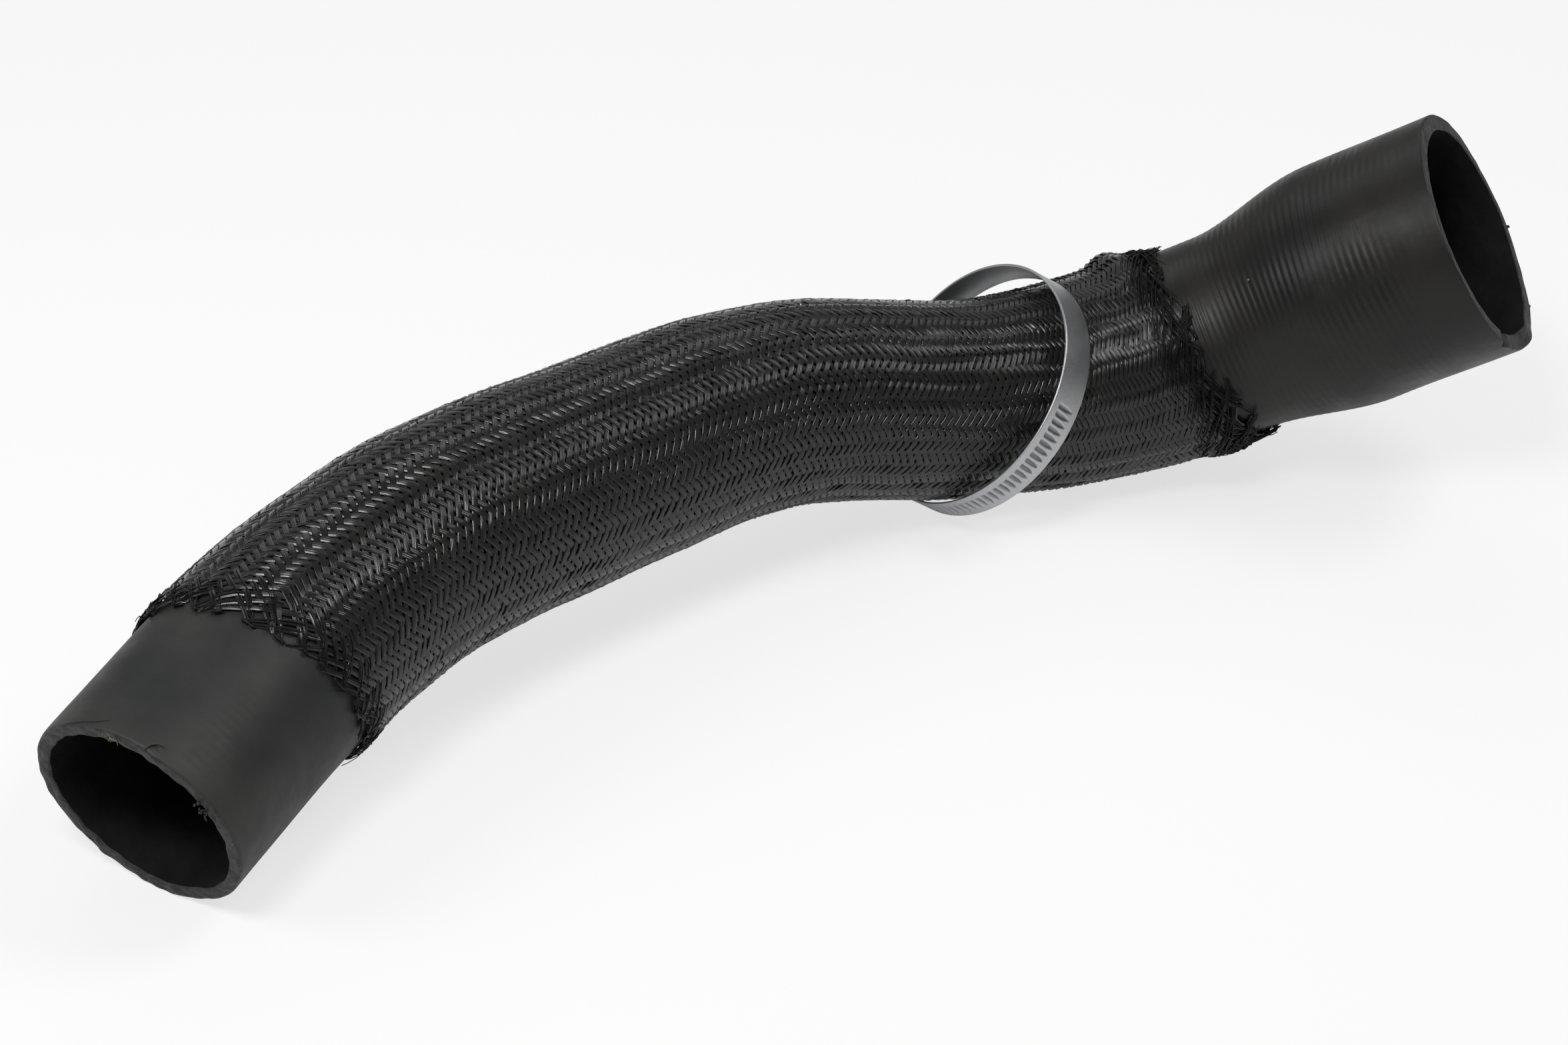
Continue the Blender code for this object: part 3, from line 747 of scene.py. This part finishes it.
def melted_bars(way):
    """Angle, distance and half length in angle of each bar along a cut edge; way -1 is the cuff's."""
    at_cuff = way < 0
    rng = np.random.default_rng(71 if at_cuff else 72)
    count = CUFF_BARS if at_cuff else BELL_BARS
    lengths = CUFF_BAR_LENGTHS if at_cuff else BELL_BAR_LENGTHS
    places = CUFF_BAR_PLACES if at_cuff else BELL_BAR_PLACES
    angle = (np.arange(count) + rng.uniform(-BAR_JITTER, BAR_JITTER, count)) * math.tau / count
    edge = sleeve_edges(angle)[0 if at_cuff else 1]
    distance = edge + way * rng.uniform(*places, count)
    half = rng.uniform(*lengths, count) / 2.0 / hose_radius(distance)
    return angle, distance, half


def drawn_to_bar(distance, angle, bars, way):
    """Bends a tape's last stretch to the nearest bar; the third result is the share of it."""
    bar_angle, bar_distance, bar_half = bars
    tip = 0 if way < 0 else -1
    reach = CUFF_GATHER if way < 0 else BELL_GATHER
    gap = (bar_angle - angle[tip] + math.pi) % math.tau - math.pi
    near = np.argmin(np.abs(gap) - bar_half)
    shift = np.sign(gap[near]) * max(0.0, abs(gap[near]) - bar_half[near])
    share = np.clip(1.0 - np.abs(distance - distance[tip]) / reach, 0.0, 1.0)
    pull = share * share * (3.0 - 2.0 * share)
    return distance + pull * (bar_distance[near] - distance[tip]), angle + pull * shift, pull


def crossing_table():
    """Distances along the hose of the rows where tapes of the two hands cross."""
    step = 0.25
    distance = np.arange(TAPE_SPACINGS[0][0], TAPE_SPACINGS[-1][0], step)
    rows = np.cumsum(2.0 * step / eased(TAPE_SPACINGS, distance))
    count = math.floor(rows[-1])
    return np.interp(np.arange(1, count), rows, distance)


def make_tapes(name, hand, bars, finish):
    """One hand of the braid, every tape over two and under two, and the tapes' last stretches."""
    rows = crossing_table()
    number = np.arange(len(rows))
    half_turn = math.pi / TAPES
    section_places = np.array(TAPE_SECTION_PLACES)
    section_heights = TAPE_THICKNESS * np.array(TAPE_SECTION_HEIGHTS)
    points, faces, uv, count, tips = [], [], [], 0, []
    rng = np.random.default_rng(50 + (hand > 0))
    for tape in range(TAPES):
        drawn = half_turn * (2.0 * tape + hand * number)
        angle = drawn + STRETCH_ROUND * np.sin(drawn - math.radians(STRETCH_TURN))
        angle = angle + TAPE_WAVE_ROUND * uneven(angle, rows, seed=46, turns=5, pitch=40.0)
        distance = rows + TAPE_WAVE_ALONG * uneven(angle, rows, seed=47, turns=6, pitch=45.0)
        distance = distance + TAPE_JITTER * rng.normal(size=len(rows))
        first, last = sleeve_edges(angle)
        fray = rng.uniform(-1.0, 1.0, 2)
        keep = (distance > first + fray[0]) & (distance < last + fray[1])
        s, a = distance[keep], angle[keep]
        s, a, cuff_pull = drawn_to_bar(s, a, bars[-1], -1)
        s, a, bell_pull = drawn_to_bar(s, a, bars[1], 1)
        pull = np.maximum(cuff_pull, bell_pull)
        phase = (2 * tape + hand * number[keep]) % FLOAT_REPEAT
        over = np.where(phase < FLOAT_REPEAT / 2, 1.0, -1.0) * hand
        wander = (0.03 + 0.12 * pull) * rng.normal(size=len(s))
        radius = sleeve_radius(s, a) + TAPE_LIFT * (1.0 + 0.5 * pull) * over + wander
        step_along, step_round = np.gradient(s), np.gradient(a) * radius
        step = np.hypot(step_along, step_round)
        narrowed = 1.0 - CUFF_NARROWS * cuff_pull**2 - BELL_NARROWS * bell_pull**2
        width = TAPE_WIDTH * rng.uniform(*TAPE_WIDTH_VARIES) * narrowed
        across = section_places[None, :] * width[:, None]
        tilt = TAPE_TILT * rng.normal(size=len(s))[:, None] * across
        placed = LINE.place(
            s[:, None] + hand * across * (step_round / step)[:, None],
            radius[:, None] + section_heights[None, :] + tilt,
            a[:, None] - hand * across * (step_along / step / radius)[:, None],
        )
        points.append(placed.reshape(-1, 3))
        faces.append(grid_faces(len(s), len(section_places), close_columns=False) + count)
        count += placed.shape[0] * placed.shape[1]
        run = np.cumsum(step) + TAPE_UV_STRIDE * tape
        grid = np.broadcast_arrays(section_places + 0.5, run[:, None])
        uv.append(np.stack(grid, axis=-1).reshape(-1, 2))
        path = np.stack((s, a, radius))
        tips += [(-1, path[:, :CUFF_TIP_ROWS][:, ::-1]), (1, path[:, -BELL_TIP_ROWS:])]
    points, faces, uv = (np.concatenate(part) for part in (points, faces, uv))
    made = add_mesh(name, points, faces, (finish,), uv)
    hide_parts("braided_sleeve")
    return made, tips


def tubes(paths, radii, sides):
    """Points and quads of many thin tubes; paths is tube by point by place."""
    tangent = np.gradient(paths, axis=1)
    tangent /= np.linalg.norm(tangent, axis=-1, keepdims=True)
    first = np.cross(tangent, np.array((0.31, 0.52, 0.79)))
    first /= np.linalg.norm(first, axis=-1, keepdims=True)
    second = np.cross(tangent, first)
    turn = np.linspace(0.0, math.tau, sides, endpoint=False)
    ring = (
        first[:, :, None, :] * np.cos(turn)[:, None]
        + second[:, :, None, :] * np.sin(turn)[:, None]
    )
    points = paths[:, :, None, :] + radii[:, :, None, None] * ring
    count, steps = paths.shape[:2]
    faces = [grid_faces(steps, sides) + tube * steps * sides for tube in range(count)]
    return points.reshape(-1, 3), np.concatenate(faces)


def bar_profile(thickness, rng):
    """Radii along a melted bar or a crumb, closed at both ends and lumpy between."""
    way = np.linspace(-1.0, 1.0, FILAMENT_STEPS)
    uneven_steps = rng.normal(size=FILAMENT_STEPS + 2)
    lumps = 1.0 + BAR_LUMPS * np.convolve(uneven_steps, np.ones(3) / 3.0, "valid")
    return 0.01 + thickness / 2.0 * (1.0 - way**4) ** 0.5 * lumps


def make_fray(tips, bars, finish):
    """The melted bars, and the filaments that strayed out of the tapes beside them."""
    rng = np.random.default_rng(61)
    share = np.linspace(0.0, 1.0, FILAMENT_STEPS)
    bow = np.sin(math.pi * share)
    paths, radii = [], []
    for way, path in tips:
        count, stray, rise = CUFF_LOOSE if way < 0 else BELL_LOOSE
        grid = np.linspace(0.0, 1.0, path.shape[1])
        clump, clump_free = rng.normal(0.0, stray), rng.random() < FREE_TAPES
        clump_past, clump_aside = rng.uniform(*FREE_PAST), rng.normal(0.0, FREE_ASIDE)
        for _ in range(count):
            along = rng.uniform(0.0, 0.5) + share * 0.5
            along = along / along[-1] * rng.uniform(0.9, 1.0)
            s, a, radius = (np.interp(along, grid, part) for part in path)
            free = clump_free or rng.random() < FREE_SINGLES
            past = free * way * clump_past * rng.uniform(0.6, 1.1) * share**4
            side = (clump + rng.normal(0.0, 0.35)) * bow
            side = side + free * (clump_aside + rng.normal(0.0, 0.4)) * share**4
            lift = FILAMENT_LIFT + rng.uniform(0.0, rise) * bow
            lift = lift + free * rng.uniform(0.0, FREE_RISE) * share**3
            paths.append(LINE.place(s + past, radius + lift, a + side / hose_radius(s)))
            thick = FILAMENT_DIAMETER / 2.0 * rng.uniform(*FILAMENT_DIAMETER_VARIES)
            radii.append(np.full(FILAMENT_STEPS, thick))
    for way in (-1, 1):
        for angle, distance, half in zip(*bars[way]):
            a = angle + half * np.linspace(-1.0, 1.0, FILAMENT_STEPS)
            s = distance + rng.normal(0.0, 0.4) * (share - 0.5) * 2.0 + 0.4 * rng.normal() * bow
            height = hose_radius(s) + BAR_LIFT + rng.uniform(0.0, 0.5)
            paths.append(LINE.place(s, height, a))
            radii.append(bar_profile(BAR_THICKNESS * rng.uniform(*BAR_THICKNESS_VARIES), rng))
    points, faces = tubes(np.array(paths), np.array(radii), FILAMENT_SIDES)
    made = add_mesh("braid_fray", points, faces, (finish,))
    return made


def rim_path(places, lift, from_bell=False):
    """A line over the skin near a rim, evened out between the places it is given."""
    angle, distance = np.array(places).T
    grid = np.linspace(0.0, 1.0, len(angle))
    share = np.linspace(0.0, 1.0, FILAMENT_STEPS)
    a = np.radians(np.interp(share, grid, angle))
    s = np.interp(share, grid, distance)
    s = LINE.length - s if from_bell else s
    return LINE.place(s, hose_radius(np.clip(s, 0.0, LINE.length)) + lift, a)


def make_rim_scraps(finish):
    """Cracks, a curl of rubber, crumbs at a burr and two nibs of flash on the rims."""
    rng = np.random.default_rng(81)
    share = np.linspace(0.0, 1.0, FILAMENT_STEPS)
    taper = np.sin(math.pi * np.clip(share, 0.04, 0.96)) ** 0.5
    paths = [rim_path(places, 0.05) for places in CRACKS]
    radii = [CRACK_WIDTH / 2.0 * taper for _ in CRACKS]
    paths.append(rim_path(CURL, 0.1 + 1.5 * share**2))
    radii.append(CURL_THICKNESS / 2.0 * taper)
    for _ in range(BURR_CRUMBS):
        turn = BURR_TURN + rng.normal(0.0, 2.5)
        start = rng.uniform(-1.6, 0.6)
        places = ((turn, start), (turn + rng.normal(0.0, 2.0), start - rng.uniform(0.2, 1.4)))
        paths.append(rim_path(places, rng.uniform(-HOSE_WALL, -0.5 * HOSE_WALL)))
        radii.append(bar_profile(rng.uniform(*BURR_CRUMB_THICKNESSES), rng))
    for turn in NIB_TURNS:
        places = ((turn, 0.6), (turn + 0.7, -0.2))
        paths.append(rim_path(places, -0.4 + 1.6 * share, from_bell=True))
        radii.append(bar_profile(NIB_THICKNESS, rng))
    points, faces = tubes(np.array(paths), np.array(radii), FILAMENT_SIDES)
    made = add_mesh("rim_scraps", points, faces, (finish,))
    return made


def make_rim_fibres(finish):
    """Pale threads of the ply that the saw pulled out of the cuff's rim."""
    rng = np.random.default_rng(91)
    share = np.linspace(0.0, 1.0, FILAMENT_STEPS)
    turns = [turn for turn in FIBRE_TUFT_TURNS for _ in range(FIBRES_IN_TUFT)]
    turns += [turn for turn in FIBRE_PAIR_TURNS for _ in range(FIBRES_IN_PAIR)]
    paths = []
    for turn in turns:
        angle = math.radians(turn + rng.normal(0.0, 1.5))
        side = rng.normal(0.0, 1.1) * share + rng.normal(0.0, 0.4) * np.sin(math.pi * share)
        out = -rng.uniform(0.3, 1.0) * share + 0.5
        depth = rng.uniform(0.2, 0.85) * HOSE_WALL + rng.normal(0.0, 0.5) * share
        radius = CUFF_DIAMETER / 2.0 - depth
        paths.append(LINE.place(out, radius, angle + side / CUFF_DIAMETER * 2.0))
    radii = np.full((len(paths), FILAMENT_STEPS), FIBRE_DIAMETER / 2.0)
    points, faces = tubes(np.array(paths), radii, FIBRE_SIDES)
    made = add_mesh("rim_fibres", points, faces, (finish,))
    return made


def band_radius(degrees):
    """Outer radius of the band along its length, which ends lifted over its own start."""
    shift = BAND_THICKNESS + BAND_LAYER_GAP
    lift = eased(((LIFT_START_ANGLE, 0.0), (LIFT_END_ANGLE, shift)), degrees)
    way = np.radians(2.0 * (degrees - LOOP_LONG_WAY))
    return LOOP_RADIUS * (1.0 + LOOP_OVALITY * np.cos(way)) + lift


def groove_sink(degrees, across):
    """Depth of the pressed thread grooves at places on the band."""
    pitch_angle = math.degrees(GROOVE_PITCH / LOOP_RADIUS)
    number = (degrees - GROOVE_START_ANGLE) / pitch_angle
    last = math.floor((TAIL_ANGLE - GROOVE_START_ANGLE) / pitch_angle)
    along = (number % 1.0 - 0.5) * GROOVE_PITCH - GROOVE_SLANT * across / GROOVE_LENGTH
    up = across / (GROOVE_LENGTH / 2.0)
    half_width = GROOVE_WIDTH / 2.0 * np.clip((1.0 - up) / GROOVE_TAPER, 0.0, 1.0) ** 0.6
    edge = np.clip(1.0 - np.abs(along) / np.maximum(half_width, 1e-3), 0.0, 1.0)
    foot = np.clip((up + 1.0) / GROOVE_FOOT, 0.0, 1.0)
    inside = (number >= 0.0) & (number < last) & (up < 1.0)
    shape = edge * edge * (3.0 - 2.0 * edge)
    return np.where(inside, GROOVE_DEPTH * np.minimum(1.0, GROOVE_FLANK * shape) * foot, 0.0)


def make_band(finish):
    """The steel strip with rounded edges and every groove pressed into it."""
    half, edge = BAND_WIDTH / 2.0, BAND_EDGE_ROUND
    face = np.linspace(-half + edge, half - edge, BAND_FACE_POINTS)
    across = [-half, *face, half]
    sink = [edge, *np.zeros(len(face)), edge]
    across += [half, half - edge, edge - half, -half]
    sink += [BAND_THICKNESS - edge, BAND_THICKNESS, BAND_THICKNESS, BAND_THICKNESS - edge]
    rows = np.arange(TONGUE_ANGLE, TAIL_ANGLE, BAND_STEP_ANGLE)
    degrees, across, sink = np.broadcast_arrays(rows[:, None], np.array(across), np.array(sink))
    outer = (sink == 0.0) & (np.abs(across) < half - edge)
    pressed_in = np.where(outer, groove_sink(degrees, across), 0.0)
    radius = band_radius(degrees) - (sink + pressed_in)
    angle = np.radians(degrees)
    local = np.stack((radius * np.cos(angle), radius * np.sin(angle), across), axis=-1)
    turn = np.array(Euler([math.radians(part) for part in LOOP_ROTATION]).to_matrix())
    points = local.reshape(-1, 3) @ turn.T + np.array(LOOP_CENTRE) + np.array(REST_SHIFT)
    faces = grid_faces(*local.shape[:2])
    made = add_mesh("band_steel", points, faces, (finish,))
    # The depth of the grooves, which the steel's finish reads to paint shade in them
    pressed = made.data.attributes.new("pressed", "FLOAT", "POINT")
    pressed.data.foreach_set("value", (pressed_in / GROOVE_DEPTH).astype(np.float32).ravel())
    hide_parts("clamp_band")
    return made


def dress_cad_node(name, finish, rounding):
    """Keeps a solid of the frame, with its finish and slightly rounded edges."""
    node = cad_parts[name]
    node.data.materials.clear()
    node.data.materials.append(finish)
    bevel = node.modifiers.new("rounded_edges", "BEVEL")
    bevel.width = rounding * MM
    bevel.segments = 2
    bevel.limit_method = "ANGLE"
    bevel.angle_limit = math.radians(ROUNDED_FROM_ANGLE)


# Studio


def make_floor():
    """A wide pale floor that runs past the view, a little whiter to the eye than it is lit."""
    mesh = bpy.data.meshes.new("floor")
    corners = [(-1.0, -1.0), (1.0, -1.0), (1.0, 1.0), (-1.0, 1.0)]
    points = [(x * FLOOR_REACH, y * FLOOR_REACH, 0.0) for x, y in corners]
    mesh.from_pydata(points, [], [(0, 1, 2, 3)])
    floor = bpy.data.objects.new("floor", mesh)
    bpy.context.scene.collection.objects.link(floor)
    made = Finish("floor", specular=0.0)
    made.set("Roughness", 0.9)
    made.set("Base Color", (FLOOR_GREY, FLOOR_GREY, FLOOR_GREY))
    glow = made.nodes.new("ShaderNodeEmission")
    rays = made.nodes.new("ShaderNodeLightPath")
    white = 0.0
    for kind, share in FLOOR_WHITE:
        seen = made.calculated("MULTIPLY", rays.outputs[kind], share)
        white = made.calculated("MAXIMUM", seen, white)
    blend = made.nodes.new("ShaderNodeMixShader")
    made.feed(blend.inputs["Fac"], white)
    made.feed(blend.inputs[1], made.shader.outputs["BSDF"])
    made.feed(blend.inputs[2], glow.outputs["Emission"])
    made.feed(made.nodes["Material Output"].inputs["Surface"], blend.outputs["Shader"])
    mesh.materials.append(made.material)


def make_lamp(name, place, size, power):
    """A soft rectangular lamp that faces the part."""
    lamp = bpy.data.lights.new(name, "AREA")
    lamp.shape = "RECTANGLE"
    lamp.size, lamp.size_y = size
    lamp.energy = power
    made = bpy.data.objects.new(name, lamp)
    made.location = place
    aim = Vector(LAMP_TARGET) - Vector(place)
    made.rotation_euler = aim.to_track_quat("-Z", "Y").to_euler()
    bpy.context.scene.collection.objects.link(made)


def make_studio():
    """Even light from all round, and the soft lamps."""
    world = bpy.data.worlds.new("studio")
    world.use_nodes = True
    background = world.node_tree.nodes["Background"]
    background.inputs["Color"].default_value = (1.0, 1.0, 1.0, 1.0)
    background.inputs["Strength"].default_value = EVEN_LIGHT
    bpy.context.scene.world = world
    for lamp in LAMPS:
        make_lamp(*lamp)


def make_camera():
    """The photograph's viewpoint."""
    data = bpy.data.cameras.new("camera")
    data.sensor_width = SENSOR_WIDTH
    data.lens = FOCAL_PIXELS * SENSOR_WIDTH / IMAGE_WIDTH
    data.clip_start, data.clip_end = CLIP_RANGE
    made = bpy.data.objects.new("camera", data)
    made.location = Vector(CAMERA_PLACE) * MM
    made.rotation_euler = [math.radians(part) for part in CAMERA_ROTATION]
    bpy.context.scene.collection.objects.link(made)
    bpy.context.scene.camera = made


make_camera()
make_floor()
make_studio()
bpy.context.scene.view_settings.view_transform = "Standard"

rubber = rubber_finish()
braid = tape_finish()
bars = {way: melted_bars(way) for way in (-1, 1)}
hose = make_hose((rubber, cut_finish(), bore_finish()))
right_hand, right_tips = make_tapes("braid_right_hand", 1, bars, braid)
left_hand, left_tips = make_tapes("braid_left_hand", -1, bars, braid)
fray = make_fray(right_tips + left_tips, bars, filament_finish())
scraps = make_rim_scraps(rubber)
fibres = make_rim_fibres(fibre_finish())
band = make_band(steel_finish("band_steel", *BAND_STEEL, pressed=True))
for piece in (hose, right_hand, left_hand, fray, scraps, fibres, band):
    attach(piece, "hose_body")
dress_cad_node("clamp_housing", steel_finish("housing_steel", *HOUSING_STEEL), HOUSING_EDGE_ROUND)
dress_cad_node("clamp_screw", steel_finish("screw_steel", *SCREW_STEEL), SCREW_EDGE_ROUND)
